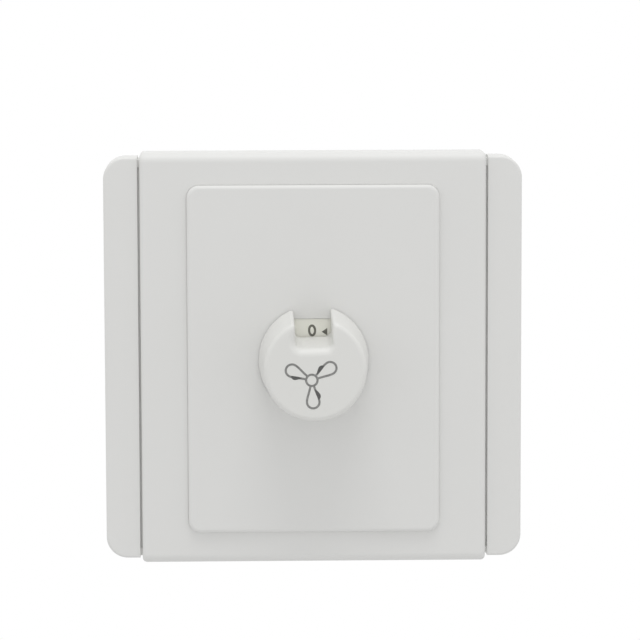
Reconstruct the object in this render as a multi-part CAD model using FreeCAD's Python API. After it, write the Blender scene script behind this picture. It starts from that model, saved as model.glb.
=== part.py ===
import FreeCAD, Part
import math
import os
from FreeCAD import Vector

# Flush wall plate with a rotary fan speed control, built as it comes apart on a bench.
# Drawing frame, in millimetres: x to the right, y up, z out of the wall towards the user,
# with the wall surface at z = 0 and the spindle on the z axis.
# Every finished piece is turned into the stored frame, where the front looks along -Y and +Z is up.

# Driving sizes: front plate
plate_width = 87.0
plate_height = 86.0
surround_depth = 8.6
surround_wall = 1.9
surround_front_wall = 2.0
surround_brow_radius = 1.8
surround_side_radius = 0.9
groove_gap = 0.5
groove_depth = 1.0
groove_end_depth = 0.5
groove_end_length = 1.5
cover_gap = 0.3
touching = 1e-6

# Driving sizes: side strips and the wings that they clip on
strip_width = 7.05
strip_height = 84.2
strip_depth = 7.2
strip_wall = 1.4
strip_corner_radius = 4.5
strip_edge_radius = 0.5
wing_height = 4.6
wing_skin = 1.8
wing_clearance = 0.4
strip_clip_pitch = 48.0
strip_clip_width = 6.0
strip_clip_thickness = 1.2
strip_barb = 0.7
strip_barb_length = 1.2
clip_clearance = 0.2

# Driving sizes: mounting plate with its raised panel
panel_side_margin = 9.7
panel_end_margin = 6.6
panel_corner_radius = 2.6
panel_edge_radius = 0.8
panel_stand = 1.3
panel_wall = 2.0
window_gap = 0.04
flange_thickness = 2.2
flange_corner_radius = 2.0
fixing_edge = 3.6
fixing_slot_width = 4.2
fixing_slot_length = 6.4
surround_barb_pitch = 36.0
surround_barb_width = 8.0
surround_barb_reach = 0.8
surround_barb_height = 0.8
surround_barb_rise = 0.25

# Driving sizes: speed dial, seen through the notch of the knob
dial_half_flats = 8.65
dial_corner_radius = 0.6
dial_recess = 0.1
dial_lip = 0.9
dial_flange_thickness = 1.5
dial_clearance = 0.05
dial_seat_wall = 1.3

# Driving sizes: knob
knob_base_radius = 11.45
knob_front_radius = 10.5
knob_height = 15.75
knob_gap = 0.35
knob_shoulder_radius = 1.0
knob_wall = 1.7
knob_front_wall = 2.2
knob_hub_radius = 4.6
knob_hub_stand = 1.3
knob_rib_thickness = 1.0
notch_width = 7.7
notch_turn = 2.0
notch_floor_base = 4.85
notch_floor_front = 4.35
notch_lip_radius = 1.65
notch_rim_radius = 0.5
notch_corner_radius = 1.4
notch_wall = 1.2

# Driving sizes: spindle and rotor
spindle_radius = 3.0
spindle_flat = 2.0
spindle_grip_length = 8.3
spindle_end_gap = 0.3
shaft_clearance = 0.05
grip_spring_thickness = 0.3
grip_spring_width = 3.4
grip_spring_length = 7.2
tail_radius = 1.8
rotor_radius = 9.0
rotor_thickness = 2.8
rotor_lug_reach = 1.6
rotor_lug_angle = 16.0
peg_radius = 0.9
peg_offset = 4.6
stake_radius = 0.6
stake_height = 0.8

# Driving sizes: detent and contacts
positions = 6
position_angle = 60.0
stop_play = 1.0
star_radius = 8.2
star_thickness = 3.8
star_valley_radius = 3.0
star_valley_depth = 1.8
end_play = 0.2
leaf_thickness = 0.4
leaf_nose_radius = 1.8
leaf_width = 2.4
leaf_stand = 0.6
leaf_gap = 0.1
leaf_offset = 10.4
wiper_thickness = 0.4
wiper_ring_width = 2.5
wiper_arm_width = 2.0
wiper_tip_length = 1.8
contact_thickness = 0.8
contact_gap = 0.1
common_ring_radius = 5.5
common_ring_width = 1.8
step_radius = 8.1
step_width = 2.2
step_angle = 44.0
pin_radius = 0.5
pin_tail = 1.0
pin_clearance = 0.1

# Driving sizes: switch body
switch_wall = 1.6
switch_cavity = 23.8
switch_corner_radius = 2.0
switch_floor = 1.6
switch_depth = 13.4
switch_cover_thickness = 2.0
switch_cover_lip = 0.8
switch_cover_lip_wall = 1.2
collar_wall = 0.95
collar_below_panel = 0.5
switch_clip_width = 5.0
switch_clip_thickness = 1.0
switch_clip_length = 7.0
switch_clip_barb = 0.6
switch_clip_gap = 0.1
switch_catch_height = 1.2
stop_inner_gap = 0.4
leaf_slot_post = 2.4
leaf_post_front = 1.2

# Driving sizes: circuit board and what it carries
board_thickness = 1.6
board_gap = 0.4
board_post_gap = 0.4
capacitor_height = 14.0
capacitor_small_height = 11.0
capacitor_radius = 0.8
capacitor_standoff = 0.5
capacitor_gap = 1.0
capacitor_post_gap = 1.1
capacitor_lead_inset = 2.5
lead_radius = 0.4
resistor_radius = 1.15
resistor_length = 6.5
resistor_lead_span = 10.0
resistor_gap = 0.3
resistor_standoff = 0.1

# Driving sizes: terminals
terminal_post_gap = 2.1
terminal_width = 7.0
terminal_length = 8.0
terminal_height = 9.4
terminal_wall_gap = 0.5
wire_bore_radius = 1.75
wire_bore_drop = 4.4
terminal_foot_radius = 0.6
terminal_foot_tail = 0.2
terminal_foot_pitch = 4.0
terminal_screw_radius = 1.6
terminal_screw_head_radius = 2.5
terminal_screw_head_height = 1.6
terminal_screw_lift = 0.2
bay_gap = 0.8
bay_wall = 1.4
bay_board_gap = 0.4
bay_opening_gap = 0.3

# Driving sizes: rear housing and screws
housing_depth = 24.0
housing_wall = 1.8
housing_back_wall = 2.0
housing_corner_radius = 2.0
housing_spigot = 1.5
housing_gap = 0.3
post_radius = 4.0
post_inset = 3.5
post_floor = 4.0
post_screw_well_radius = 3.2
board_ledge_length = 20.0
board_ledge_reach = 1.7
barrier_thickness = 1.5
boss_radius = 3.0
boss_blind = 1.4
housing_screw_radius = 1.45
housing_screw_length = 10.0
housing_screw_head_radius = 2.8
housing_screw_head_height = 1.9
screw_clearance = 0.05
screw_hole_clearance = 0.2
cross_recess_width = 0.7
cross_recess_depth = 0.8

# Places worked out from the driving sizes: front pieces
through = plate_width + plate_height
block_width = plate_width - 2 * (strip_width + groove_gap)
panel_width = block_width - 2 * panel_side_margin
panel_height = plate_height - 2 * panel_end_margin
cavity_width = block_width - 2 * surround_wall
cavity_height = plate_height - 2 * surround_wall
panel_front = surround_depth + panel_stand
panel_inside = panel_front - panel_wall
pocket_width = panel_width - 2 * panel_wall
pocket_height = panel_height - 2 * panel_wall
strip_inner = block_width / 2 + groove_gap
strip_outer = plate_width / 2
wing_outer = strip_outer - strip_wall - wing_clearance
wing_length = strip_height - 2 * (strip_wall + wing_clearance)
flange_width = cavity_width - 2 * cover_gap
flange_height = cavity_height - 2 * cover_gap
fixing_pitch = flange_width - 2 * fixing_edge

# Places worked out from the driving sizes: stack along the spindle
dial_face = panel_front - dial_recess
dial_back = panel_inside - dial_flange_thickness
dial_flange_half_flats = dial_half_flats + dial_lip
switch_front = dial_back - switch_cover_thickness
switch_back = switch_front - switch_depth
switch_floor_top = switch_back + switch_floor
switch_size = switch_cavity + 2 * switch_wall
collar_radius = spindle_radius + shaft_clearance + collar_wall
collar_top = panel_front - collar_below_panel
star_front = switch_front - end_play
star_back = star_front - star_thickness
rotor_back = star_back - rotor_thickness
contact_top = switch_floor_top + contact_thickness
board_front = switch_back
board_back = board_front - board_thickness
knob_base = panel_front + knob_gap
knob_face = knob_base + knob_height
hub_end = panel_front + knob_hub_stand
bore_end = hub_end + spindle_grip_length
spindle_tip = bore_end - spindle_end_gap
switch_clip_end = switch_front - switch_clip_length

# Places worked out from the driving sizes: rear pieces
housing_width = pocket_width - 2 * housing_gap
housing_height = pocket_height - 2 * housing_gap
housing_inner_width = housing_width - 2 * housing_wall
housing_inner_height = housing_height - 2 * housing_wall
housing_back = -housing_depth
housing_floor = housing_back + housing_back_wall
post_x = housing_inner_width / 2 - post_inset
post_y = housing_inner_height / 2 - post_inset
board_width = housing_inner_width - 2 * board_gap
board_height = housing_inner_height - 2 * board_gap
resistor_pitch = 2 * resistor_radius + resistor_gap
resistor_rows = [board_height / 2 - resistor_pitch * (row + 0.5) for row in range(2)]
capacitor_inner = switch_size / 2 + capacitor_gap
capacitor_depth = board_height / 2 - 2 * resistor_pitch - resistor_gap - capacitor_inner
capacitor_y = capacitor_inner + capacitor_depth / 2
capacitor_width = 2 * (post_x - post_radius - capacitor_post_gap)
terminal_x = post_x - post_radius - terminal_post_gap - terminal_width / 2
terminal_y = -housing_inner_height / 2 + terminal_wall_gap + terminal_length / 2
bay_half_width = terminal_x + terminal_width / 2 + bay_gap
bay_top = terminal_y + terminal_length / 2 + bay_gap
bay_floor = board_back - bay_board_gap - bay_wall
wire_bore_z = board_back - wire_bore_drop
terminal_back = board_back - terminal_height
corners = [(sx, sy) for sx in (-1, 1) for sy in (-1, 1)]
sides = (-1, 1)


# Shapes shared by several pieces

def block(x0, x1, y0, y1, z0, z1):
    return Part.makeBox(x1 - x0, y1 - y0, z1 - z0, Vector(x0, y0, z0))


def disc(radius, z0, z1, x=0.0, y=0.0):
    return Part.makeCylinder(radius, z1 - z0, Vector(x, y, z0))


def ring(outer, inner, z0, z1):
    return disc(outer, z0, z1).cut(disc(inner, z0, z1))


def joined(first, others):
    return first.multiFuse(list(others)).removeSplitter()


def upright_edges(shape):
    """Edges that run along z."""
    found = []
    for edge in shape.Edges:
        box = edge.BoundBox
        if box.XLength < touching and box.YLength < touching:
            found.append(edge)
    return found


def edges_at_height(shape, z):
    flat = [e for e in shape.Edges if e.BoundBox.ZLength < touching]
    return [e for e in flat if abs(e.BoundBox.ZMin - z) < touching]


def rounded_block(width, height, radius, z0, z1):
    plain = block(-width / 2, width / 2, -height / 2, height / 2, z0, z1)
    return plain.makeFillet(radius, upright_edges(plain))


def polygon_along_x(points, x0, x1):
    """A prism whose outline is a list of (y, z) points."""
    outline = [Vector(x0, y, z) for y, z in points]
    return Part.Face(Part.makePolygon(outline + outline[:1])).extrude(Vector(x1 - x0, 0, 0))


def polygon_along_y(points, y0, y1):
    """A prism whose outline is a list of (x, z) points."""
    outline = [Vector(x, y0, z) for x, z in points]
    return Part.Face(Part.makePolygon(outline + outline[:1])).extrude(Vector(0, y1 - y0, 0))


def dial_point(angle, radius):
    """A place on the dial, with the angle in degrees clockwise from the top as the user sees it."""
    turn = math.radians(angle)
    return radius * math.sin(turn), radius * math.cos(turn)


def sector(outer, inner, middle_angle, width_angle, z0, z1):
    """Part of a ring, centred on a dial angle."""
    first = Part.makeCylinder(outer, z1 - z0, Vector(0, 0, z0), Vector(0, 0, 1), width_angle)
    second = disc(inner, z0, z1)
    start = 90.0 - middle_angle - width_angle / 2
    cut = first.cut(second)
    cut.rotate(Vector(0, 0, 0), Vector(0, 0, 1), start)
    return cut


def mirrored_x(shape):
    return shape.mirror(Vector(0, 0, 0), Vector(1, 0, 0))


def pan_screw(x, y, seat, tip, radius, head_radius, head_height):
    """A screw driven along +z, with a cross recess in the head, which lies below its seat."""
    head = disc(head_radius, seat - head_height, seat, x, y)
    rim = edges_at_height(head, seat - head_height)
    head = head.makeChamfer(head_height / 3, rim)
    shank = disc(radius, seat, tip, x, y)
    body = joined(head, [shank])
    half = cross_recess_width / 2
    reach = head_radius - cross_recess_width
    floor = seat - head_height + cross_recess_depth
    slots = [
        block(x - reach, x + reach, y - half, y + half, seat - head_height, floor),
        block(x - half, x + half, y - reach, y + reach, seat - head_height, floor),
    ]
    return body.cut(slots)


# Surround: the clip-on front cover, one moulding with a window for the raised panel

def surround_shell():
    """A shallow cover with rounded top and bottom brows, open towards the wall."""
    half = plate_height / 2
    front = surround_depth
    brow = surround_brow_radius
    bend = brow * (1 - math.sqrt(0.5))
    x = -block_width / 2

    def at(y, z):
        return Vector(x, y, z)

    lower_arc = Part.Arc(at(-half, front - brow), at(-half + bend, front - bend), at(-half + brow, front))
    upper_arc = Part.Arc(at(half - brow, front), at(half - bend, front - bend), at(half, front - brow))
    outline = Part.Wire([
        Part.LineSegment(at(-half, 0), at(-half, front - brow)).toShape(),
        lower_arc.toShape(),
        Part.LineSegment(at(-half + brow, front), at(half - brow, front)).toShape(),
        upper_arc.toShape(),
        Part.LineSegment(at(half, front - brow), at(half, 0)).toShape(),
        Part.LineSegment(at(half, 0), at(-half, 0)).toShape(),
    ])
    solid = Part.Face(outline).extrude(Vector(block_width, 0, 0))
    side_edges = []
    for edge in solid.Edges:
        box = edge.BoundBox
        if box.XLength < touching and box.ZMax > touching:
            side_edges.append(edge)
    solid = solid.makeFillet(surround_side_radius, side_edges)
    hollow_top = surround_depth - surround_front_wall
    hollow = block(
        -cavity_width / 2, cavity_width / 2, -cavity_height / 2, cavity_height / 2, 0, hollow_top)
    return solid.cut(hollow)


def surround_wing():
    """The low ledge at the right-hand side that a strip clips on, hollow from behind."""
    x0 = block_width / 2 - surround_wall / 2
    half = wing_length / 2
    corner = strip_corner_radius - strip_wall - wing_clearance
    ledge = block(x0, wing_outer, -half, half, 0, wing_height)
    outer_edges = [e for e in upright_edges(ledge) if e.BoundBox.XMax > wing_outer - touching]
    ledge = ledge.makeFillet(corner, outer_edges)
    hollow = block(
        block_width / 2, wing_outer - strip_wall, -half + strip_wall, half - strip_wall,
        0, wing_height - wing_skin)
    slots = []
    for side in sides:
        y = side * strip_clip_pitch / 2
        reach = strip_clip_width / 2 + clip_clearance
        slots.append(block(
            clip_x() - clip_clearance, clip_x() + strip_clip_thickness + strip_barb + clip_clearance,
            y - reach, y + reach, 0, wing_height))
    return ledge.cut([hollow] + slots)


def groove_floor():
    """The rib that closes the groove beside the right-hand strip, higher at its two ends."""
    x0 = block_width / 2 - surround_wall / 2
    half = strip_height / 2 - strip_edge_radius
    pieces = [block(x0, strip_inner, -half, half, 0, strip_depth - groove_depth)]
    for side in sides:
        ys = sorted([side * half, side * (half - groove_end_length)])
        pieces.append(block(x0, strip_inner, ys[0], ys[1], 0, strip_depth - groove_end_depth))
    return joined(pieces[0], pieces[1:])


def clip_x():
    """Inner face of the strip's clip tongues, in the middle of the wing's hollow."""
    hollow_middle = (block_width / 2 + wing_outer - strip_wall) / 2
    return hollow_middle - (strip_clip_thickness + strip_barb) / 2


def surround_barbs():
    """Wedges inside the top and bottom walls that hold the cover on the mounting plate."""
    wall = cavity_height / 2
    low = surround_barb_rise
    high = low + surround_barb_height
    barbs = []
    for sx, sy in corners:
        x = sx * surround_barb_pitch / 2
        inside = sy * (wall - surround_barb_reach)
        outside = sy * (wall + surround_wall / 2)
        root = sy * wall
        points = [(outside, low), (root, low), (inside, high), (root, high), (outside, high)]
        barbs.append(polygon_along_x(points, x - surround_barb_width / 2, x + surround_barb_width / 2))
    return barbs


def surround():
    side = joined(surround_wing(), [groove_floor()])
    cover = joined(surround_shell(), [side, mirrored_x(side)] + surround_barbs())
    window = rounded_block(
        panel_width + 2 * window_gap, panel_height + 2 * window_gap,
        panel_corner_radius + window_gap, 0, through)
    return cover.cut(window)


# Side strips: narrow clip-on trims that hide the ends of the wings

def strip_outline(inset, z0, z1):
    """The strip's plan, rounded at its two outer corners and drawn in by a wall's thickness."""
    x0 = strip_inner + inset
    x1 = strip_outer - inset
    half = strip_height / 2 - inset
    plain = block(x0, x1, -half, half, z0, z1)
    outer_edges = [e for e in upright_edges(plain) if e.BoundBox.XMax > x1 - touching]
    return plain.makeFillet(strip_corner_radius - inset, outer_edges)


def right_side_strip():
    skin = strip_outline(0, 0, strip_depth)
    rim = [e for e in edges_at_height(skin, strip_depth) if e.BoundBox.XMax > strip_inner + touching]
    skin = skin.makeFillet(strip_edge_radius, rim)
    hollow = strip_outline(strip_wall, 0, strip_depth - strip_wall)
    wing_way = block(
        strip_inner, strip_inner + strip_wall, -wing_length / 2 - wing_clearance,
        wing_length / 2 + wing_clearance, 0, wing_height + clip_clearance)
    catch = wing_height - wing_skin - clip_clearance
    inner = clip_x()
    outer = inner + strip_clip_thickness
    tongue = [
        (inner, strip_depth - strip_wall / 2), (outer, strip_depth - strip_wall / 2), (outer, catch),
        (outer + strip_barb, catch), (outer, catch - strip_barb_length), (inner, catch - strip_barb_length),
    ]
    tongues = []
    for side in sides:
        y = side * strip_clip_pitch / 2
        tongues.append(polygon_along_y(tongue, y - strip_clip_width / 2, y + strip_clip_width / 2))
    return joined(skin.cut([hollow, wing_way]), tongues)


def left_side_strip():
    return mirrored_x(right_side_strip())


# Mounting plate: carries everything, with the raised panel that fills the surround's window

def fixing_slot(side):
    """A slot for the wall box screw, rounded at both ends."""
    radius = fixing_slot_width / 2
    run = (fixing_slot_length - fixing_slot_width) / 2
    x = side * fixing_pitch / 2
    middle = block(x - run, x + run, -radius, radius, 0, flange_thickness)
    ends = [disc(radius, 0, flange_thickness, x + end * run) for end in sides]
    return joined(middle, ends)


def mounting_plate():
    flange = rounded_block(flange_width, flange_height, flange_corner_radius, 0, flange_thickness)
    raised = rounded_block(panel_width, panel_height, panel_corner_radius, 0, panel_front)
    raised = raised.makeFillet(panel_edge_radius, edges_at_height(raised, panel_front))
    pocket_corner = max(panel_corner_radius - panel_wall, panel_edge_radius)
    pocket = rounded_block(pocket_width, pocket_height, pocket_corner, 0, panel_inside)
    plate = joined(flange, [raised]).cut(pocket)
    screw_bosses = [disc(boss_radius, 0, panel_inside, sx * post_x, sy * post_y) for sx, sy in corners]
    seat_inner = dial_flange_half_flats + dial_clearance
    dial_seat = dial_prism(seat_inner + dial_seat_wall, dial_back, panel_inside)
    dial_seat = dial_seat.cut(dial_prism(seat_inner, dial_back, panel_inside))
    plate = joined(plate, screw_bosses + [dial_seat])
    cuts = [fixing_slot(side) for side in sides]
    cuts.append(dial_prism(dial_half_flats, panel_inside, panel_front))
    pilot = housing_screw_radius + screw_clearance
    cuts += [disc(pilot, 0, panel_inside - boss_blind, sx * post_x, sy * post_y) for sx, sy in corners]
    return plate.cut(cuts + barb_pockets())


def barb_pockets():
    """Recesses under the flange's edges, where the surround's barbs hook in."""
    depth = surround_barb_reach
    top = surround_barb_rise + surround_barb_height + clip_clearance
    pockets = []
    for sx, sy in corners:
        x = sx * surround_barb_pitch / 2
        reach = surround_barb_width / 2 + clip_clearance
        ends = sorted([sy * (flange_height / 2 - depth), sy * cavity_height / 2])
        pockets.append(block(x - reach, x + reach, ends[0], ends[1], 0, top))
    return pockets


# Speed dial: the numbered plate behind the panel, which stays still while the knob turns

def dial_prism(half_flats, z0, z1):
    """A prism with one flat side for each position, the first straight up."""
    half_side = 180.0 / positions
    reach = half_flats / math.cos(math.radians(half_side))
    points = [dial_point(half_side * (2 * side + 1), reach) for side in range(positions)]
    outline = [Vector(x, y, z0) for x, y in points]
    plain = Part.Face(Part.makePolygon(outline + outline[:1])).extrude(Vector(0, 0, z1 - z0))
    return plain.makeFillet(dial_corner_radius, upright_edges(plain))


def speed_dial():
    flange = dial_prism(dial_flange_half_flats, dial_back, panel_inside)
    face = dial_prism(dial_half_flats - dial_clearance, panel_inside, dial_face)
    return joined(flange, [face]).cut(disc(collar_radius + shaft_clearance, dial_back, dial_face))


# Knob: a hollow moulded cap, cut by a notch that shows one number of the dial

def notch_floor_at(z):
    """Height of the notch's sloping floor above the spindle axis."""
    share = (z - knob_base) / knob_height
    return notch_floor_base + (notch_floor_front - notch_floor_base) * share


def turned_notch(shape):
    """The notch stands a little anticlockwise of the spindle's flat, in line with the dial's printing."""
    turned = shape.copy()
    turned.rotate(Vector(0, 0, 0), Vector(0, 0, 1), notch_turn)
    return turned


def notch_channel():
    """The notch as a solid, with a sloping floor and rounded corners."""
    half = notch_width / 2
    top = knob_base_radius + knob_height
    low = knob_base - knob_gap
    high = knob_face + knob_gap
    floor = [(notch_floor_at(low), low), (top, low), (top, high), (notch_floor_at(high), high)]
    channel = polygon_along_x(floor, -half, half)
    lower_edges = []
    for edge in channel.Edges:
        box = edge.BoundBox
        if box.XLength < touching and box.YMax < top - touching:
            lower_edges.append(edge)
    return turned_notch(channel.makeFillet(notch_corner_radius, lower_edges))


def rim_radius_at(point):
    """Rounding of the notch's rim: broad along the lip at the front, fine up the two horns."""
    lip_top = notch_floor_front + notch_corner_radius + notch_rim_radius
    on_lip = point.z > knob_face - touching and point.y < lip_top
    return notch_lip_radius if on_lip else notch_rim_radius


def knob_hollow():
    """The inside of the cap, less the hub, the ribs and the walls round the notch."""
    inner_radius = knob_front_radius - knob_wall
    ceiling = knob_face - knob_front_wall
    hollow = disc(inner_radius, knob_base, ceiling)
    hub = disc(knob_hub_radius, hub_end, ceiling)
    half_rib = knob_rib_thickness / 2
    cross_rib = block(-inner_radius, inner_radius, -half_rib, half_rib, hub_end, ceiling)
    lower_rib = block(-half_rib, half_rib, -inner_radius, 0, hub_end, ceiling)
    half_notch = notch_width / 2 + notch_wall
    top = knob_base_radius
    low = knob_base - knob_gap
    walls = polygon_along_x([
        (notch_floor_at(low) - notch_wall, low), (top, low),
        (top, ceiling), (notch_floor_at(ceiling) - notch_wall, ceiling),
    ], -half_notch, half_notch)
    return hollow.cut([hub, cross_rib, lower_rib, turned_notch(walls)])


def spindle_bore():
    """The blind D-shaped hole in the hub, with room for the grip spring on its flat."""
    radius = spindle_radius + shaft_clearance
    flat = spindle_flat + grip_spring_thickness + 3 * shaft_clearance
    round_bore = disc(radius, knob_base - knob_gap, bore_end)
    return round_bore.common(block(-radius, radius, -flat, radius, knob_base - knob_gap, bore_end))


def notched_cap():
    """The outside of the knob: a drafted cap, with its shoulder and the rim of its notch rounded together."""
    cap = Part.makeCone(knob_base_radius, knob_front_radius, knob_height, Vector(0, 0, knob_base))
    channel = notch_channel()
    notched = cap.cut(channel)
    tolerance = shaft_clearance / 10
    rounds = []
    for number, edge in enumerate(notched.Edges, 1):
        first, middle, last = edge.discretize(3)
        on_notch = channel.isInside(middle, tolerance, True)
        on_skin = not cap.isInside(middle, tolerance, False)
        if on_notch and on_skin and edge.BoundBox.ZMax > knob_base + tolerance:
            rounds.append((number, rim_radius_at(first), rim_radius_at(last)))
        elif edge.BoundBox.ZMin > knob_face - tolerance:
            rounds.append((number, knob_shoulder_radius, knob_shoulder_radius))
    sheet = FreeCAD.newDocument()
    sharp = sheet.addObject("Part::Feature", "sharp")
    sharp.Shape = notched
    rounded = sheet.addObject("Part::Fillet", "rounded")
    rounded.Base = sharp
    rounded.Edges = rounds
    sheet.recompute()
    return rounded.Shape.copy()


def knob():
    return notched_cap().cut([knob_hollow(), spindle_bore()])


def knob_grip_spring():
    """A flat steel leaf between the spindle's flat and the hub."""
    near = spindle_flat + shaft_clearance
    half = grip_spring_width / 2
    top = bore_end - spindle_end_gap
    return block(-half, half, -near - grip_spring_thickness, -near, top - grip_spring_length, top)


# Spindle: nylon shaft and rotor in one, with the pegs that drive the detent wheel and carry the wiper

def spindle():
    shaft = disc(spindle_radius, rotor_back, spindle_tip)
    flat_way = block(
        -spindle_radius, spindle_radius, -spindle_radius, -spindle_flat, hub_end - knob_gap, spindle_tip)
    shaft = shaft.cut(flat_way)
    tip = edges_at_height(shaft, spindle_tip)
    shaft = shaft.makeChamfer(spindle_end_gap, tip)
    rotor = disc(rotor_radius, rotor_back, star_back)
    lug_reach = rotor_radius + rotor_lug_reach
    lug = sector(lug_reach, rotor_radius / 2, 0, rotor_lug_angle, rotor_back, star_back)
    tail = disc(tail_radius, switch_back + end_play, rotor_back)
    pegs = [disc(peg_radius, star_back, star_back + star_thickness / 2, s * peg_offset, 0) for s in sides]
    stakes = [
        disc(stake_radius, rotor_back - wiper_thickness - stake_height, rotor_back, s * wiper_stake_x(), 0)
        for s in sides
    ]
    return joined(shaft, [rotor, lug, tail] + pegs + stakes)


def wiper_stake_x():
    return spindle_radius + wiper_ring_width / 2


# Detent wheel and leaf: a star wheel that clicks past a formed spring strip

def detent_wheel():
    star = disc(star_radius, star_back, star_front)
    valley_centre = star_radius - star_valley_depth + star_valley_radius
    cuts = []
    for step in range(positions):
        x, y = dial_point(90.0 + step * position_angle, valley_centre)
        cuts.append(disc(star_valley_radius, star_back, star_front, x, y))
    cuts.append(disc(spindle_radius + shaft_clearance, star_back, star_front))
    cuts += [disc(peg_radius + shaft_clearance, star_back, star_front, s * peg_offset, 0) for s in sides]
    return star.cut(cuts)


def leaf_z():
    """Lower and upper edge of the detent leaf."""
    low = star_back + leaf_stand
    return low, low + leaf_width


def detent_spring():
    """A steel strip held at both ends, with a round nose pressed into a valley of the star."""
    low, high = leaf_z()
    nose_tip = star_radius - star_valley_depth + leaf_gap
    nose_x = nose_tip + leaf_nose_radius
    back = leaf_offset + leaf_thickness / 2
    front = leaf_offset - leaf_thickness / 2
    inner_radius = leaf_nose_radius - leaf_thickness
    end = switch_cavity / 2 - clip_clearance
    bend = disc(leaf_nose_radius, low, high, nose_x).cut(disc(inner_radius, low, high, nose_x))
    bend = bend.common(block(nose_tip, nose_x, -leaf_nose_radius, leaf_nose_radius, low, high))
    pieces = []
    for side in sides:
        ends = sorted([side * inner_radius, side * leaf_nose_radius])
        pieces.append(block(nose_x, back, ends[0], ends[1], low, high))
        ends = sorted([side * inner_radius, side * end])
        pieces.append(block(front, back, ends[0], ends[1], low, high))
    return joined(bend, pieces)


# Contacts: a bronze wiper on the rotor, and brass pieces on the floor of the switch

def wiper_arm(radius, side):
    """One springy arm, bent down from the ring to a flat tip just over the contacts."""
    ring_low = rotor_back - wiper_thickness
    tip_low = contact_top + contact_gap
    tip_high = tip_low + wiper_thickness
    root = spindle_radius + wiper_ring_width / 2
    half = wiper_tip_length / 2
    heel = radius - half
    upper_line = [(root, rotor_back), (root + wiper_thickness, rotor_back)]
    upper_line += [(heel + wiper_thickness, tip_high)]
    tip = [(radius + half, tip_high), (radius + half, tip_low), (heel, tip_low)]
    points = upper_line + tip + [(root + wiper_thickness / 2, ring_low), (root, ring_low)]
    placed = [(side * y, z) for y, z in points]
    return polygon_along_x(placed, -wiper_arm_width / 2, wiper_arm_width / 2)


def wiper_contact():
    low = rotor_back - wiper_thickness
    inner = tail_radius + shaft_clearance
    washer = ring(spindle_radius + wiper_ring_width, inner, low, rotor_back)
    holes = [disc(stake_radius + shaft_clearance, low, rotor_back, s * wiper_stake_x(), 0) for s in sides]
    arms = [wiper_arm(step_radius, 1), wiper_arm(common_ring_radius, -1)]
    return joined(washer, arms).cut(holes)


def contact_pin(angle, radius):
    x, y = dial_point(angle, radius)
    return disc(pin_radius, board_back - pin_tail, switch_floor_top, x, y)


def common_contact():
    half = common_ring_width / 2
    track = ring(common_ring_radius + half, common_ring_radius - half, switch_floor_top, contact_top)
    return joined(track, [contact_pin(0, common_ring_radius)])


def step_contacts():
    """One brass pad for each running speed, all alike."""
    half = step_width / 2
    outer = step_radius + half
    inner = step_radius - half
    pads = []
    for step in range(1, positions):
        angle = step * position_angle
        pad = sector(outer, inner, angle, step_angle, switch_floor_top, contact_top)
        pads.append(joined(pad, [contact_pin(angle, step_radius)]))
    return Part.makeCompound(pads)


def contact_pin_places():
    places = [dial_point(0, common_ring_radius)]
    return places + [dial_point(step * position_angle, step_radius) for step in range(1, positions)]


# Switch body: a square cup, and the clip-on front cover with the spindle's collar

def stop_block():
    """The stop that ends the turn at the first and the last position."""
    gap_angle = 360.0 - (positions - 1) * position_angle
    width_angle = gap_angle - rotor_lug_angle - 2 * stop_play
    inner = rotor_radius + stop_inner_gap
    piece = sector(switch_size, inner, -gap_angle / 2, width_angle, switch_floor_top, star_back)
    half = switch_cavity / 2 + switch_wall / 2
    return piece.common(block(-half, half, -half, half, switch_floor_top, star_back))


def leaf_posts():
    """Pairs of ribs in the right-hand corners that form slots for the ends of the detent leaf."""
    high = leaf_z()[1]
    wall = switch_cavity / 2
    root = wall + switch_wall / 2
    behind = leaf_offset + leaf_thickness / 2 + shaft_clearance
    before = leaf_offset - leaf_thickness / 2 - shaft_clearance
    posts = []
    for side in sides:
        ends = sorted([side * (wall - leaf_slot_post), side * root])
        posts.append(block(behind, root, ends[0], ends[1], star_back, high))
        posts.append(block(before - leaf_post_front, before, ends[0], ends[1], star_back, high))
    return posts


def switch_catch(side):
    """The ridge on a side wall that a clip of the cover hooks under."""
    low = switch_clip_end + switch_catch_height + switch_clip_gap
    xs = sorted([side * (switch_size / 2 - switch_wall / 2), side * (switch_size / 2 + switch_clip_barb)])
    half = switch_clip_width / 2
    return block(xs[0], xs[1], -half, half, low, low + switch_catch_height)


def switch_base():
    body = rounded_block(switch_size, switch_size, switch_corner_radius, switch_back, switch_front)
    inner_corner = switch_corner_radius / 2
    inside = rounded_block(switch_cavity, switch_cavity, inner_corner, switch_floor_top, switch_front)
    cup = joined(body.cut(inside), [stop_block()] + leaf_posts() + [switch_catch(s) for s in sides])
    holes = [disc(tail_radius + shaft_clearance, switch_back, switch_floor_top)]
    pin_hole = pin_radius + pin_clearance / 2
    holes += [disc(pin_hole, switch_back, switch_floor_top, x, y) for x, y in contact_pin_places()]
    return cup.cut(holes)


def switch_clip(side):
    """A springy arm at the cover's edge, with a barb under the catch of the base."""
    wall = switch_size / 2 + switch_clip_gap
    inner = wall + switch_clip_barb
    outer = inner + switch_clip_thickness
    root = switch_size / 2 - switch_wall
    barb_top = switch_clip_end + switch_catch_height
    points = [
        (root, switch_front), (root, dial_back), (outer, dial_back), (outer, switch_clip_end),
        (inner, switch_clip_end), (wall, barb_top), (inner, barb_top), (inner, switch_front),
    ]
    placed = [(side * x, z) for x, z in points]
    return polygon_along_y(placed, -switch_clip_width / 2, switch_clip_width / 2)


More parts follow.
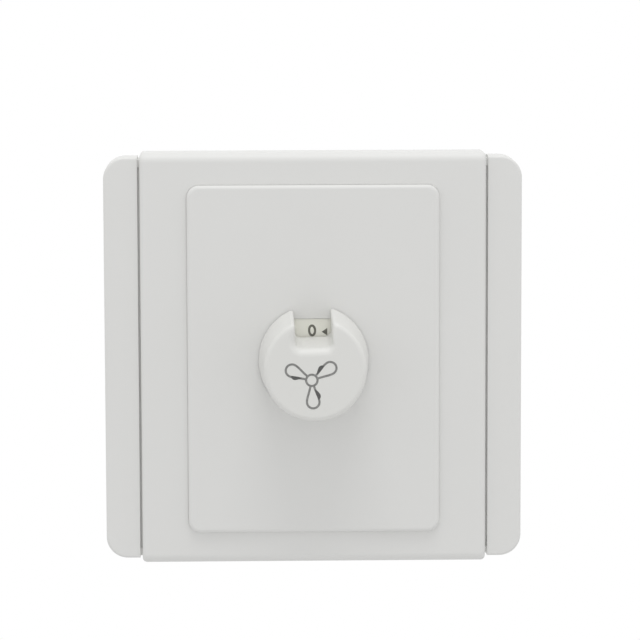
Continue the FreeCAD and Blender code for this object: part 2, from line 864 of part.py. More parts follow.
def switch_cover():
    plate = rounded_block(switch_size, switch_size, switch_corner_radius, switch_front, dial_back)
    collar = disc(collar_radius, dial_back, collar_top)
    lip_size = switch_cavity - 2 * clip_clearance
    lip_inner = lip_size - 2 * switch_cover_lip_wall
    lip_low = switch_front - switch_cover_lip
    lip = rounded_block(lip_size, lip_size, switch_corner_radius / 2, lip_low, switch_front)
    lip = lip.cut(rounded_block(lip_inner, lip_inner, switch_corner_radius / 2, lip_low, switch_front))
    bore = disc(spindle_radius + shaft_clearance, switch_front, collar_top)
    return joined(plate, [collar, lip] + [switch_clip(s) for s in sides]).cut(bore)


# Circuit board with the speed capacitors and their bleed resistors

def capacitor_leads(y):
    return [(s * (capacitor_width / 2 - capacitor_lead_inset), y) for s in sides]


def resistor_leads(y):
    return [(s * resistor_lead_span / 2, y) for s in sides]


def terminal_feet(side):
    return [(side * terminal_x, terminal_y + s * terminal_foot_pitch / 2) for s in sides]


def circuit_board():
    half_width = board_width / 2
    half_height = board_height / 2
    board = block(-half_width, half_width, -half_height, half_height, board_back, board_front)
    clear = post_radius + board_post_gap
    cuts = []
    for sx, sy in corners:
        xs = sorted([sx * (post_x - clear), sx * housing_width])
        ys = sorted([sy * (post_y - clear), sy * housing_height])
        cuts.append(block(xs[0], xs[1], ys[0], ys[1], board_back, board_front))
    wires = capacitor_leads(capacitor_y) + capacitor_leads(-capacitor_y)
    for y in resistor_rows:
        wires += resistor_leads(y)
    foot_hole = terminal_foot_radius + pin_clearance
    for side in sides:
        cuts += [disc(foot_hole, board_back, board_front, x, y) for x, y in terminal_feet(side)]
    cuts += [disc(lead_radius + pin_clearance, board_back, board_front, x, y) for x, y in wires]
    pin_hole = pin_radius + pin_clearance
    cuts += [disc(pin_hole, board_back, board_front, x, y) for x, y in contact_pin_places()]
    return board.cut(cuts)


def capacitor(y, height):
    """A box film capacitor standing on the front of the board, with its two leads."""
    low = board_front + capacitor_standoff
    half_width = capacitor_width / 2
    half_depth = capacitor_depth / 2
    can = block(-half_width, half_width, y - half_depth, y + half_depth, low, low + height)
    can = can.makeFillet(capacitor_radius, upright_edges(can) + edges_at_height(can, low + height))
    leads = [disc(lead_radius, board_back - pin_tail, low, x, wire_y) for x, wire_y in capacitor_leads(y)]
    return joined(can, leads)


def bleed_resistors():
    """One axial resistor for each capacitor, lying above them, with its leads bent down into the board."""
    height = board_front + resistor_radius + resistor_standoff
    along = Vector(1, 0, 0)
    span = resistor_lead_span + 2 * lead_radius
    pieces = []
    for y in resistor_rows:
        start = Vector(-resistor_length / 2, y, height)
        bead = Part.makeCylinder(resistor_radius, resistor_length, start, along)
        ends = [e for e in bead.Edges if e.BoundBox.XLength < touching]
        bead = bead.makeChamfer(resistor_radius / 3, ends)
        wire = Part.makeCylinder(lead_radius, span, Vector(-span / 2, y, height), along)
        legs = [disc(lead_radius, board_back - pin_tail, height, lx, ly) for lx, ly in resistor_leads(y)]
        pieces.append(joined(bead, [wire] + legs))
    return Part.makeCompound(pieces)


# Terminals: brass tunnel blocks on the back of the board, each with a clamping screw

def terminal(side):
    x = side * terminal_x
    half_width = terminal_width / 2
    half_length = terminal_length / 2
    body = block(x - half_width, x + half_width, terminal_y - half_length, terminal_y + half_length,
                 terminal_back, board_back)
    feet = [disc(terminal_foot_radius, board_back, board_front + terminal_foot_tail, fx, fy)
            for fx, fy in terminal_feet(side)]
    bore_start = Vector(x, terminal_y - half_length, wire_bore_z)
    bore = Part.makeCylinder(wire_bore_radius, terminal_length, bore_start, Vector(0, 1, 0))
    thread = disc(terminal_screw_radius + screw_clearance, terminal_back, wire_bore_z, x, terminal_y)
    return joined(body, feet).cut([bore, thread])


def terminal_screws():
    """Both clamping screws, backed out so that the wire tunnels are clear."""
    seat = terminal_back - terminal_screw_lift
    tip = wire_bore_z - wire_bore_radius - terminal_screw_lift
    return Part.makeCompound([
        pan_screw(s * terminal_x, terminal_y, seat, tip, terminal_screw_radius,
                  terminal_screw_head_radius, terminal_screw_head_height)
        for s in sides
    ])


# Rear housing: the cup behind the wall, screwed to the mounting plate at its four corners

def rear_housing():
    outside = rounded_block(
        housing_width, housing_height, housing_corner_radius, housing_back, housing_spigot)
    back_rim = edges_at_height(outside, housing_back)
    outside = outside.makeFillet(housing_corner_radius / 2, back_rim)
    inside = block(-housing_inner_width / 2, housing_inner_width / 2, -housing_inner_height / 2,
                   housing_inner_height / 2, housing_floor, housing_spigot)
    root = housing_wall / 2
    posts = []
    for sx, sy in corners:
        x = sx * post_x
        y = sy * post_y
        posts.append(disc(post_radius, housing_floor, 0, x, y))
        xs = sorted([x, sx * (housing_inner_width / 2 + root)])
        ys = sorted([y, sy * (housing_inner_height / 2 + root)])
        posts.append(block(xs[0], xs[1], ys[0], ys[1], housing_floor, 0))
    ledges = []
    for side in sides:
        wall = housing_inner_width / 2
        xs = sorted([side * (wall - board_ledge_reach), side * (wall + root)])
        half = board_ledge_length / 2
        ledges.append(block(xs[0], xs[1], -half, half, housing_floor, board_back))
    bay = terminal_bay_walls().common(outside)
    cup = joined(outside.cut(inside), posts + ledges + [bay])
    cup = cup.cut([terminal_bay_room()] + terminal_openings() + screw_wells())
    return joined(cup, [terminal_barrier().common(outside)])


def screw_wells():
    """Deep wells at the corners, each with a through hole for the screw in its floor."""
    holes = []
    for sx, sy in corners:
        x = sx * post_x
        y = sy * post_y
        holes.append(disc(post_screw_well_radius, housing_back, -post_floor, x, y))
        holes.append(disc(housing_screw_radius + screw_hole_clearance, -post_floor, 0, x, y))
    return holes


def terminal_bay_walls():
    """A solid round the place of the open bay, which the bay's room is then cut from."""
    half = bay_half_width + bay_wall
    return block(-half, half, -housing_height / 2, bay_top + bay_wall, housing_back, bay_floor + bay_wall)


def terminal_bay_room():
    """The bay at the lower edge of the back, open downwards for the wires and backwards for a screwdriver."""
    return block(-bay_half_width, bay_half_width, -housing_height / 2, bay_top, housing_back, bay_floor)


def terminal_openings():
    """The two openings in the bay's floor that the terminals stand through."""
    openings = []
    for side in sides:
        half_width = terminal_width / 2 + bay_opening_gap
        half_length = terminal_length / 2 + bay_opening_gap
        x = side * terminal_x
        openings.append(block(
            x - half_width, x + half_width, terminal_y - half_length, terminal_y + half_length,
            bay_floor, bay_floor + bay_wall))
    return openings


def terminal_barrier():
    """The wall that keeps the two terminals apart."""
    half = barrier_thickness / 2
    return block(-half, half, -housing_height / 2, bay_top, housing_back, bay_floor)


def housing_screws():
    seat = -post_floor
    return Part.makeCompound([
        pan_screw(sx * post_x, sy * post_y, seat, seat + housing_screw_length, housing_screw_radius,
                  housing_screw_head_radius, housing_screw_head_height)
        for sx, sy in corners
    ])


# Finished pieces, one file each

def stored_frame(shape):
    turned = shape.copy()
    turned.rotate(Vector(0, 0, 0), Vector(1, 0, 0), 90)
    return turned


def main():
    pieces = {
        "surround": surround(),
        "left_side_strip": left_side_strip(),
        "right_side_strip": right_side_strip(),
        "mounting_plate": mounting_plate(),
        "speed_dial": speed_dial(),
        "knob": knob(),
        "knob_grip_spring": knob_grip_spring(),
        "spindle": spindle(),
        "detent_wheel": detent_wheel(),
        "detent_spring": detent_spring(),
        "wiper_contact": wiper_contact(),
        "common_contact": common_contact(),
        "step_contacts": step_contacts(),
        "switch_base": switch_base(),
        "switch_cover": switch_cover(),
        "circuit_board": circuit_board(),
        "large_capacitor": capacitor(capacitor_y, capacitor_height),
        "small_capacitor": capacitor(-capacitor_y, capacitor_small_height),
        "bleed_resistors": bleed_resistors(),
        "live_terminal": terminal(-1),
        "fan_terminal": terminal(1),
        "terminal_screws": terminal_screws(),
        "rear_housing": rear_housing(),
        "housing_screws": housing_screws(),
    }
    os.makedirs("parts", exist_ok=True)
    for node, shape in pieces.items():
        stored_frame(shape).exportStep(os.path.join("parts", node + ".step"))
        print(node, len(shape.Solids), shape.isValid(), round(shape.Volume, 2))


main()
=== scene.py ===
import math

import bmesh
import bpy
from mathutils import Matrix, Vector
from mathutils.geometry import interpolate_bezier


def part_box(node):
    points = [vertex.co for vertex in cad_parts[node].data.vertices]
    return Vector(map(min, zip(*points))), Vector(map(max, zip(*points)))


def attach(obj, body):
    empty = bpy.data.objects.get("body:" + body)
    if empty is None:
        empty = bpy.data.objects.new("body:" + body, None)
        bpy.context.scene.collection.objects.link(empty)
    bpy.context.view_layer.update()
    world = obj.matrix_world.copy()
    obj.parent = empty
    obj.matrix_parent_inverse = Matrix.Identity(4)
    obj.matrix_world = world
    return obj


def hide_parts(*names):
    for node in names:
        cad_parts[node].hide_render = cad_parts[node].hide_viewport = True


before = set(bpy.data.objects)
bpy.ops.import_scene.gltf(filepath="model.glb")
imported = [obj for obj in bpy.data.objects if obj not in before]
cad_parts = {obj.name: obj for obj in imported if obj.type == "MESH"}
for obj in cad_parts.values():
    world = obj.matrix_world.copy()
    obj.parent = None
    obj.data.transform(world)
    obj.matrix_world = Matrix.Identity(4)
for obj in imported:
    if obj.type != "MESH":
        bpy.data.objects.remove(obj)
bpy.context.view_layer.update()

# Rear housing: the cup that disappears into the wall box and closes the works from behind.
# Light grey moulding with the fine spark-eroded texture of its tool, held by four screws from the back.
housing_grey = (0.560, 0.570, 0.560)


def new_finish(name):
    """A new material, with its node tree and its surface shader."""
    material = bpy.data.materials.new(name)
    material.use_nodes = True
    return material, material.node_tree, material.node_tree.nodes["Principled BSDF"]


def noise_on_piece(tree, size_mm):
    """A noise pattern in the piece's own coordinates, with features about size_mm across."""
    place = tree.nodes.new("ShaderNodeTexCoord")
    noise = tree.nodes.new("ShaderNodeTexNoise")
    noise.inputs["Scale"].default_value = 1000.0 / size_mm
    noise.inputs["Detail"].default_value = 3.0
    tree.links.new(place.outputs["Object"], noise.inputs["Vector"])
    return noise.outputs["Fac"]


def between(tree, amount, low, high):
    """The amount, from 0 to 1, spread from low to high."""
    spread = tree.nodes.new("ShaderNodeMapRange")
    spread.inputs["To Min"].default_value = low
    spread.inputs["To Max"].default_value = high
    tree.links.new(amount, spread.inputs["Value"])
    return spread.outputs["Result"]


def shade_range(tree, amount, dark, light):
    """A colour that runs from dark to light over the middle of the amount."""
    ramp = tree.nodes.new("ShaderNodeValToRGB")
    for stop, position, colour in zip(ramp.color_ramp.elements, (0.3, 0.7), (dark, light)):
        stop.position = position
        stop.color = (*colour, 1.0)
    tree.links.new(amount, ramp.inputs["Fac"])
    return ramp.outputs["Color"]


def relief(tree, shader, height, depth_mm):
    """Fine relief on the surface, depth_mm from hollow to crest."""
    bump = tree.nodes.new("ShaderNodeBump")
    bump.inputs["Strength"].default_value = 1.0
    bump.inputs["Distance"].default_value = depth_mm / 1000.0
    tree.links.new(height, bump.inputs["Height"])
    tree.links.new(bump.outputs["Normal"], shader.inputs["Normal"])


def moulded_plastic(name, colour, mottle, roughness, texture_mm, texture_depth_mm):
    """Injection-moulded plastic: faint flow mottling in the colour, and the tool's texture on the skin."""
    flow_mm = 22.0
    material, tree, shader = new_finish(name)
    flow = noise_on_piece(tree, flow_mm)
    dark = [c * (1.0 - mottle) for c in colour]
    light = [c * (1.0 + mottle) for c in colour]
    tree.links.new(shade_range(tree, flow, dark, light), shader.inputs["Base Color"])
    skin = noise_on_piece(tree, texture_mm)
    tree.links.new(between(tree, skin, *roughness), shader.inputs["Roughness"])
    relief(tree, shader, skin, texture_depth_mm)
    return material


def finish_node(node, material):
    """Gives a CAD piece its material."""
    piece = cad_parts[node]
    piece.data.materials.clear()
    piece.data.materials.append(material)


housing_texture = moulded_plastic(
    "housing_texture", housing_grey,
    mottle=0.02, roughness=(0.50, 0.66), texture_mm=0.35, texture_depth_mm=0.012,
)
finish_node("rear_housing", housing_texture)

# Terminals: two tunnel blocks that clamp the fan wires, sawn from brass bar and drilled and tapped.
# Each is soldered into the board by two feet, and a zinc-plated screw comes down through its back.
brass_yellow = (0.700, 0.500, 0.200)
zinc_grey = (0.600, 0.600, 0.585)
terminal_head_mm = 2.5


def worked_metal(name, colour, roughness, grain_mm, grain_depth_mm):
    """Bare metal with the marks of rolling or turning, and slightly uneven tarnish."""
    tarnish_mm = 3.0
    dullest, brightest = 0.86, 1.06
    material, tree, shader = new_finish(name)
    shader.inputs["Metallic"].default_value = 1.0
    tarnish = noise_on_piece(tree, tarnish_mm)
    dark = [c * dullest for c in colour]
    light = [min(1.0, c * brightest) for c in colour]
    tree.links.new(shade_range(tree, tarnish, dark, light), shader.inputs["Base Color"])
    grain = noise_on_piece(tree, grain_mm)
    tree.links.new(between(tree, grain, *roughness), shader.inputs["Roughness"])
    relief(tree, shader, grain, grain_depth_mm)
    return material


def from_mm(x, y, z):
    """A point given in millimetres, in metres."""
    return x / 1000, y / 1000, z / 1000


def join_rings(shape, rings):
    """Walls between each ring of corners and the next."""
    for upper, lower in zip(rings, rings[1:]):
        for i in range(len(upper)):
            j = (i + 1) % len(upper)
            shape.faces.new((upper[i], upper[j], lower[j], lower[i]))


def closed_mesh(shape, name):
    """The mesh of a closed shape, with every face turned outwards."""
    bmesh.ops.recalc_face_normals(shape, faces=shape.faces)
    mesh = bpy.data.meshes.new(name)
    shape.to_mesh(mesh)
    shape.free()
    return mesh


def put_in_scene(name, made_of):
    """A new piece made of that mesh, lamp or camera, in the scene."""
    piece = bpy.data.objects.new(name, made_of)
    bpy.context.scene.collection.objects.link(piece)
    return piece


def worked_mesh(solid, tools):
    """What a solid becomes when each tool is joined to it or cut from it. Solid and tools are used up."""
    for tool, work in tools:
        step = solid.modifiers.new("work", "BOOLEAN")
        step.object = tool
        step.operation = work
        step.solver = "EXACT"
    bpy.context.view_layer.update()
    mesh = bpy.data.meshes.new_from_object(solid.evaluated_get(bpy.context.evaluated_depsgraph_get()))
    for used in [solid] + [tool for tool, work in tools]:
        bpy.data.objects.remove(used)
    return mesh


def recess_cutter():
    """The point of a cross-head screwdriver, with four wings that taper towards its tip."""
    corner_share = 1.35
    shape = bmesh.new()
    rings = []
    for height, reach, half_wing in ((0.6, 1.75, 0.44), (-1.1, 0.85, 0.30), (-1.7, 0.16, 0.10)):
        corner = half_wing * corner_share
        wing = [(reach, -half_wing), (reach, half_wing), (corner, corner)]
        outline = []
        for quarter in range(4):
            spin = Matrix.Rotation(math.radians(90 * quarter), 2)
            outline += [spin @ Vector(point) for point in wing]
        rings.append([shape.verts.new(from_mm(p.x, height, -p.y)) for p in outline])
    shape.faces.new(rings[0])
    shape.faces.new(rings[-1][::-1])
    join_rings(shape, rings)
    return put_in_scene("recess_cutter", closed_mesh(shape, "recess_cutter"))


def pan_head_screw(head_radius, head_height, shank_radius, length, pitch):
    """One screw, its sizes in millimetres: pan head with a cross recess, rolled thread and blunt point."""
    corners_round = 40
    rows_in_a_turn = 6
    thread_depth = 0.28 * pitch
    root = shank_radius - thread_depth
    point_radius = 0.6 * root
    crown = [
        (0.30, 0.012), (0.55, 0.045), (0.75, 0.10), (0.88, 0.19),
        (0.96, 0.32), (1.0, 0.48), (1.0, 0.94), (0.97, 1.0),
    ]
    rows = [(head_radius * r, -head_height * h, 0.0) for r, h in crown]
    rows.append((root, -head_height, 0.0))
    row_step = pitch / rows_in_a_turn
    for step in range(1, int((length - pitch) / row_step) + 1):
        rows.append((root, -head_height - step * pitch / rows_in_a_turn, thread_depth))
    rows.append((point_radius, -head_height - length, 0.0))
    shape = bmesh.new()
    rings = []
    for radius, height, crest in rows:
        ring = []
        for i in range(corners_round):
            turn = 2 * math.pi * i / corners_round
            wave = abs(((height / pitch + i / corners_round) % 1.0) * 2 - 1)
            reach = radius + crest * wave
            ring.append(shape.verts.new(from_mm(reach * math.cos(turn), height, reach * math.sin(turn))))
        rings.append(ring)
    join_rings(shape, rings)
    middle = shape.verts.new((0.0, 0.0, 0.0))
    for i in range(corners_round):
        shape.faces.new((middle, rings[0][(i + 1) % corners_round], rings[0][i]))
    shape.faces.new(rings[-1])
    screw = put_in_scene("plain_screw", closed_mesh(shape, "plain_screw"))
    return worked_mesh(screw, [(recess_cutter(), "DIFFERENCE")])


def set_of_screws(name, node, places, screw, material):
    """Puts a copy of the screw at each place, its crown at the back of the node that the set replaces."""
    first_turn, next_turn = 20, 37
    crease = math.radians(35)
    speck = 0.000001
    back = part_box(node)[1].y
    shape = bmesh.new()
    for number, (x, z) in enumerate(places):
        copy = screw.copy()
        spin = Matrix.Rotation(math.radians(first_turn + next_turn * number), 4, "Y")
        copy.transform(Matrix.Translation((x, back, z)) @ spin)
        shape.from_mesh(copy)
        bpy.data.meshes.remove(copy)
    bmesh.ops.dissolve_degenerate(shape, dist=speck, edges=shape.edges[:])
    for face in shape.faces:
        face.smooth = True
    mesh = closed_mesh(shape, name)
    mesh.set_sharp_from_angle(angle=crease)
    mesh.materials.clear()
    mesh.materials.append(material)
    piece = put_in_scene(name, mesh)
    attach(piece, "base")
    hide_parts(node)


brass = worked_metal(
    "turned_brass", brass_yellow, roughness=(0.22, 0.38), grain_mm=0.4, grain_depth_mm=0.004,
)
for node in ("live_terminal", "fan_terminal"):
    finish_node(node, brass)
zinc_plate = worked_metal(
    "bright_zinc_plate", zinc_grey, roughness=(0.24, 0.40), grain_mm=0.3, grain_depth_mm=0.003,
)
terminal_screw = pan_head_screw(
    head_radius=terminal_head_mm, head_height=1.6, shank_radius=1.6, length=3.2, pitch=0.6,
)
terminal_low, terminal_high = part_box("terminal_screws")
terminal_x = terminal_high.x - terminal_head_mm / 1000
terminal_z = (terminal_low.z + terminal_high.z) / 2
terminal_places = [(-terminal_x, terminal_z), (terminal_x, terminal_z)]
set_of_screws("clamping_screws", "terminal_screws", terminal_places, terminal_screw, zinc_plate)

# Circuit board: brown paper laminate punched for the pins, with a matt lacquer over both faces.
# It lies on ledges in the housing and carries everything that is soldered.
laminate_brown = (0.300, 0.200, 0.090)
paper_laminate = moulded_plastic(
    "paper_laminate", laminate_brown,
    mottle=0.12, roughness=(0.42, 0.60), texture_mm=0.6, texture_depth_mm=0.004,
)
finish_node("circuit_board", paper_laminate)

# Film capacitors: two epoxy-filled plastic boxes that set the speeds, soldered on each side of the switch.
# The cases are pale grey mouldings, plain on every face.
case_grey = (0.500, 0.520, 0.540)
capacitor_case = moulded_plastic(
    "capacitor_case", case_grey,
    mottle=0.02, roughness=(0.40, 0.52), texture_mm=0.5, texture_depth_mm=0.006,
)
for node in ("large_capacitor", "small_capacitor"):
    finish_node(node, capacitor_case)

# Bleed resistors: small film resistors dipped in tan lacquer, their leads bent down into the board.
# They lie in the strip of board above the capacitors.
lacquer_tan = (0.560, 0.420, 0.240)
dipped_lacquer = moulded_plastic(
    "dipped_lacquer", lacquer_tan,
    mottle=0.05, roughness=(0.22, 0.34), texture_mm=0.9, texture_depth_mm=0.008,
)
finish_node("bleed_resistors", dipped_lacquer)

# Switch body: a dark grey cup with the stop moulded in, and a cover that clips over its sides.
# Glass-filled plastic, so the skin is a little grainy.
switch_grey = (0.130, 0.130, 0.138)
glass_filled = moulded_plastic(
    "glass_filled_plastic", switch_grey,
    mottle=0.06, roughness=(0.44, 0.60), texture_mm=0.25, texture_depth_mm=0.008,
)
for node in ("switch_base", "switch_cover"):
    finish_node(node, glass_filled)

# Contacts: a brass ring and five brass pads riveted on the switch floor, and a bronze wiper on the rotor
# that joins the ring to one pad. Pressed from strip.
bronze_red = (0.600, 0.340, 0.170)
bronze_strip = worked_metal(
    "bronze_strip", bronze_red, roughness=(0.26, 0.40), grain_mm=0.3, grain_depth_mm=0.003,
)
for node in ("common_contact", "step_contacts"):
    finish_node(node, brass)
finish_node("wiper_contact", bronze_strip)

# Spindle and detent wheel: natural nylon, a little waxy, the wheel pressed over the rotor's pegs.
# The knob end of the spindle has a flat.
nylon_cream = (0.700, 0.680, 0.600)
nylon = moulded_plastic(
    "natural_nylon", nylon_cream,
    mottle=0.03, roughness=(0.34, 0.46), texture_mm=0.8, texture_depth_mm=0.006,
)
for node in ("spindle", "detent_wheel"):
    finish_node(node, nylon)

# Springs: two pieces of hard-rolled steel strip, cut and bent cold.
# One lies in slots of the switch and presses its nose into the wheel, the other grips the knob on the flat.
spring_grey = (0.520, 0.520, 0.530)
spring_strip = worked_metal(
    "rolled_spring_strip", spring_grey, roughness=(0.20, 0.34), grain_mm=0.25, grain_depth_mm=0.002,
)
for node in ("detent_spring", "knob_grip_spring"):
    finish_node(node, spring_strip)

# Housing screws: four self-tapping screws with pan heads, driven into the mounting plate's bosses.
# Zinc plated, like the terminal screws, with a coarser thread, deep in the wells at the back.
corner_head_mm = 2.8
corner_screw = pan_head_screw(
    head_radius=corner_head_mm, head_height=1.9, shank_radius=1.45, length=10.0, pitch=1.1,
)
screw_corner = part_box("housing_screws")[1]
corner_x = screw_corner.x - corner_head_mm / 1000
corner_z = screw_corner.z - corner_head_mm / 1000
corner_places = [(side * corner_x, end * corner_z) for side in (-1, 1) for end in (-1, 1)]
set_of_screws("corner_screws", "housing_screws", corner_places, corner_screw, zinc_plate)

# Mounting plate: the white moulding that carries the works, with the raised panel seen in the window.
# Satin white plastic with a very fine skin, screwed to the wall through the two slots in its flange.
front_white = (0.773, 0.773, 0.758)
satin_white = moulded_plastic(
    "satin_white_plastic", front_white,
    mottle=0.006, roughness=(0.48, 0.56), texture_mm=0.5, texture_depth_mm=0.0012,
)
finish_node("mounting_plate", satin_white)

# Speed dial: the fixed six-sided plate behind the knob, one number for each position, clockwise from the top.
# Fine matt warm white moulding with pad-printed numbers and a small pointer.
dial_white = (0.870, 0.866, 0.798)
dial_ink_grey = (0.110, 0.110, 0.092)
print_height = 0.00002
same_point = 1e-7
number_ring = 0.00617
number_height = 0.0025
number_width = 0.0017
number_line = 0.00047
number_turn = math.radians(-2.8)
pointer_ring = 0.00631
pointer_turn = math.radians(21.1)
pointer_half_length = 0.00058
pointer_half_base = 0.00078
matt_warm_white = moulded_plastic(
    "matt_warm_white", dial_white,
    mottle=0.01, roughness=(0.50, 0.60), texture_mm=0.4, texture_depth_mm=0.004,
)
finish_node("speed_dial", matt_warm_white)
dial_face_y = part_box("speed_dial")[0].y


def printing_ink(name, colour):
    """A thin coat of pad-printing ink, a little uneven, as it lies on moulded plastic."""
    coat_mm = 0.3
    thinnest = 1.7
    gloss = (0.42, 0.58)
    material, tree, shader = new_finish(name)
    coat = noise_on_piece(tree, coat_mm)
    light = [c * thinnest for c in colour]
    tree.links.new(shade_range(tree, coat, colour, light), shader.inputs["Base Color"])
    tree.links.new(between(tree, coat, *gloss), shader.inputs["Roughness"])
    return material


def ink_stroke(outlines, low, high):
    """One stroke of ink drawn in x and y, as a closed solid from low to high."""
    shape = bmesh.new()
    for outline in outlines:
        shape.faces.new([shape.verts.new((x, y, low)) for x, y in outline])
    bmesh.ops.remove_doubles(shape, verts=shape.verts, dist=same_point)
    grown = bmesh.ops.extrude_face_region(shape, geom=shape.faces[:])
    lifted = [part for part in grown["geom"] if isinstance(part, bmesh.types.BMVert)]
    bmesh.ops.translate(shape, verts=lifted, vec=(0.0, 0.0, high - low))
    return put_in_scene("ink_stroke", closed_mesh(shape, "ink_stroke"))


def printed_piece(name, drawing, place, material, beside=()):
    """Joins the strokes of a drawing into one print on a face, left open where the strokes beside it lie."""
    strokes = [ink_stroke(outlines, 0.0, print_height) for outlines in drawing]
    gaps = [ink_stroke(outlines, -print_height, 2 * print_height) for outlines in beside]
    tools = [(stroke, "UNION") for stroke in strokes[1:]] + [(gap, "DIFFERENCE") for gap in gaps]
    mesh = worked_mesh(strokes[0], tools)
    mesh.transform(place)
    mesh.materials.clear()
    mesh.materials.append(material)
    return put_in_scene(name, mesh)


def facing_front(x, y, z, turn=0.0):
    """Lays print drawn in x and y on a face that looks out of the wall, its middle at that point."""
    upright = Matrix.Rotation(math.radians(90), 4, "X")
    return Matrix.Translation((x, y, z)) @ upright @ Matrix.Rotation(turn, 4, "Z")


def line_outlines(points, width):
    """Splits a drawn line into four-cornered outlines of that width, closed if it ends where it began."""
    closed = (Vector(points[0]) - Vector(points[-1])).length < same_point
    if closed:
        points = points[:-1]
    count = len(points)
    left, right = [], []
    for i, (x, y) in enumerate(points):
        before = points[i - 1] if closed or i > 0 else points[i]
        after = points[(i + 1) % count] if closed or i < count - 1 else points[i]
        along = Vector((after[0] - before[0], after[1] - before[1])).normalized()
        left.append((x - along.y * width / 2, y + along.x * width / 2))
        right.append((x + along.y * width / 2, y - along.x * width / 2))
    last = count if closed else count - 1
    return [[right[i], right[(i + 1) % count], left[(i + 1) % count], left[i]] for i in range(last)]


def oval_points(middle_x, middle_y, across, up, start, end, steps):
    """Points along part of an oval, from one angle to another in degrees."""
    angles = [math.radians(start + (end - start) * i / steps) for i in range(steps + 1)]
    return [(middle_x + across * math.cos(angle), middle_y + up * math.sin(angle)) for angle in angles]


# The ink line's middle reaches as far as side and top, and its outer edge as far as side_edge and top_edge.
side = (number_width - number_line) / 2
top = (number_height - number_line) / 2
side_edge = number_width / 2
top_edge = number_height / 2
number_strokes = [
    [
        oval_points(0.0, 0.0, side, top, -90, 270, 48),
    ],
    [
        [(0.15 * side, top_edge), (0.15 * side, -top_edge)],
        [(-0.85 * side, 0.5 * top), (0.1 * side, 0.92 * top)],
    ],
    [
        oval_points(0.0, 0.42 * top, side, 0.58 * top, 165, -25, 20) + [(-0.75 * side, -0.92 * top)],
        [(-side_edge, -top), (side_edge, -top)],
    ],
    [
        oval_points(0.0, 0.48 * top, 0.92 * side, 0.52 * top, 155, -100, 24),
        oval_points(0.0, -0.46 * top, side, 0.54 * top, 100, -155, 24),
    ],
    [
        [(0.5 * side, top_edge), (0.5 * side, -top_edge)],
        [(0.4 * side, 1.05 * top), (-1.05 * side, -0.46 * top)],
        [(-1.2 * side_edge, -0.52 * top), (1.2 * side_edge, -0.52 * top)],
    ],
    [
        [(-0.75 * side - number_line / 2, top), (0.8 * side_edge, top)],
        [(-0.75 * side, top_edge), (-0.75 * side, 0.0)],
        oval_points(-0.08 * side, -0.36 * top, 1.08 * side, 0.64 * top, 128, -140, 24),
    ],
]
dial_ink = printing_ink("dial_ink", dial_ink_grey)
for number, strokes in enumerate(number_strokes):
    drawing = [line_outlines(points, number_line) for points in strokes]
    clockwise = math.radians(60 * number) + number_turn
    place = facing_front(
        number_ring * math.sin(clockwise), dial_face_y, number_ring * math.cos(clockwise), -clockwise
    )
    digit = printed_piece(f"dial_number_{number}", drawing, place, dial_ink)
    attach(digit, "base")
pointer_outline = [
    (-pointer_half_length, 0.0),
    (pointer_half_length, -pointer_half_base),
    (pointer_half_length, pointer_half_base),
]
pointer_place = facing_front(
    pointer_ring * math.sin(pointer_turn), dial_face_y, pointer_ring * math.cos(pointer_turn)
)
pointer = printed_piece("dial_pointer", [[pointer_outline]], pointer_place, dial_ink)
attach(pointer, "base")

# Surround: the clip-on front cover, one white moulding with rounded top and bottom edges.
# It hides the fixing screws, and is pushed on over the mounting plate's barbs.
finish_node("surround", satin_white)

# Side strips: the two narrow trims beside the surround, clipped on its wings a little below its face.
# Same white plastic, with a round outer edge.
for node in ("left_side_strip", "right_side_strip"):
    finish_node(node, satin_white)

# Knob: a hollow moulded cap pushed on the spindle, with a notch that shows one number of the dial.
# Same white plastic, with a fan sign of three blades pad-printed on its face, each shaded along one side.
knob_white = (0.772, 0.772, 0.748)
sign_line_grey = (0.175, 0.175, 0.170)
sign_shade_grey = (0.066, 0.066, 0.064)
sign_x = -0.00072
sign_z = -0.00206
first_blade_turn = math.radians(33.5)
sign_line = 0.00044
hub_radius = 0.00116
blade_tip = 0.00450
blade_tip_radius = 0.00127
blade_root = (hub_radius, 0.00034)
blade_root_pull = (0.0028, 0.00076)
blade_tip_pull = (0.0036, blade_tip_radius)
blade_shade = [
    (0.00200, 0.00052), (0.00260, 0.00062), (0.00310, 0.00076), (0.00360, 0.00092), (0.00400, 0.00104),
    (0.00424, 0.00116), (0.00408, 0.00142), (0.00375, 0.00160), (0.00340, 0.00165), (0.00305, 0.00154),
    (0.00260, 0.00120), (0.00220, 0.00084),
]
shade_slips = ((-0.00048, -0.00014), (0.0, -0.00010), (-0.00014, -0.00003))
knob_plastic = moulded_plastic(
    "knob_white_plastic", knob_white,
    mottle=0.006, roughness=(0.46, 0.54), texture_mm=0.5, texture_depth_mm=0.0012,
)
finish_node("knob", knob_plastic)
blade_side = interpolate_bezier(
    Vector(blade_root), Vector(blade_root_pull),
    Vector(blade_tip_pull), Vector((blade_tip, blade_tip_radius)), 16,
)
blade_line = [(point.x, point.y) for point in blade_side[:-1]]
blade_line += oval_points(blade_tip, 0.0, blade_tip_radius, blade_tip_radius, 90, -90, 24)
blade_line += [(point.x, -point.y) for point in reversed(blade_side[:-1])]
sign_lines = [line_outlines(oval_points(0.0, 0.0, hub_radius, hub_radius, 0, 360, 48), sign_line)]
sign_shades = []
for blade, slip in enumerate(shade_slips):
    spin = Matrix.Rotation(first_blade_turn + math.radians(120 * blade), 2)
    sign_lines.append(line_outlines([spin @ Vector(point) for point in blade_line], sign_line))
    sign_shades.append([[spin @ (Vector(point) + Vector(slip)) for point in blade_shade]])
sign_place = facing_front(sign_x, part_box("knob")[0].y, sign_z)
line_ink = printing_ink("sign_line_ink", sign_line_grey)
shade_ink = printing_ink("sign_shade_ink", sign_shade_grey)
